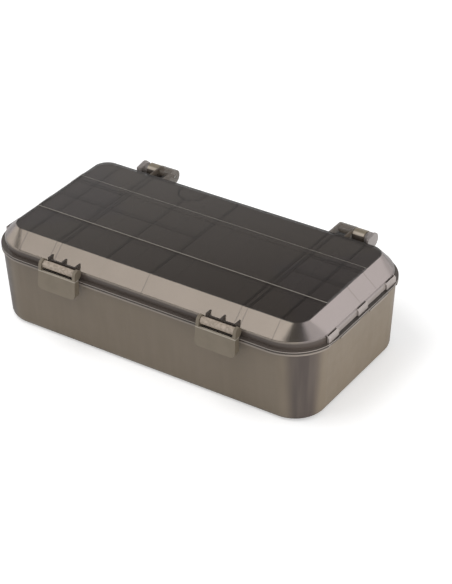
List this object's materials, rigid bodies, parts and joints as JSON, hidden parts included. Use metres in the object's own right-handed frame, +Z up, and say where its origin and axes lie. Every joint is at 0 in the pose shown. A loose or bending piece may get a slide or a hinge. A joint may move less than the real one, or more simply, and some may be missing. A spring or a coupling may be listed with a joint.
{
  "type": "fishing tackle box",
  "caption": "Flat tackle box with a tapered tub, a hinged smoky lid with sloping edges, two front latches and loose dividers inside.",
  "frame": {"origin": "middle of the flat underside of the tub", "axes": "+X right along the long side seen from the latches, +Y from the latches to the hinges, +Z up"},
  "size_m": [0.36, 0.2098, 0.0993],
  "materials": {
    "tub_plastic": "satin olive brown",
    "lid_plastic": "glossy smoky brown, clear enough to show the ribs",
    "latch_plastic": "satin olive brown",
    "divider_plastic": "satin olive brown",
    "pin_steel": "plain ground"
  },
  "bodies": {
    "tub": {"tub": "tub_plastic", "centre_divider": "divider_plastic", "centre_row": "divider_plastic", "end_divider_left": "divider_plastic", "end_divider_right": "divider_plastic", "end_row_back_left": "divider_plastic", "end_row_back_right": "divider_plastic", "end_row_middle_left": "divider_plastic", "end_row_middle_right": "divider_plastic", "main_divider_left": "divider_plastic", "main_divider_right": "divider_plastic", "middle_divider": "divider_plastic"},
    "lid": {"lid": "lid_plastic", "hinge_pin_left": "pin_steel", "hinge_pin_right": "pin_steel"},
    "latch_left": {"latch_left": "latch_plastic"},
    "latch_right": {"latch_right": "latch_plastic"}
  },
  "joints": [
    {"name": "lid_hinge", "type": "hinge", "parent": "tub", "child": "lid", "pos_m": [0, 0.1005, 0.0856], "axis": [-1, 0, 0], "range_deg": [0, 110]},
    {"name": "latch_left_pivot", "type": "hinge", "parent": "lid", "child": "latch_left", "pos_m": [-0.0871, -0.0944, 0.0848], "axis": [-1, 0, 0], "range_deg": [0, 110]},
    {"name": "latch_right_pivot", "type": "hinge", "parent": "lid", "child": "latch_right", "pos_m": [0.0871, -0.0944, 0.0848], "axis": [-1, 0, 0], "range_deg": [0, 110]}
  ]
}
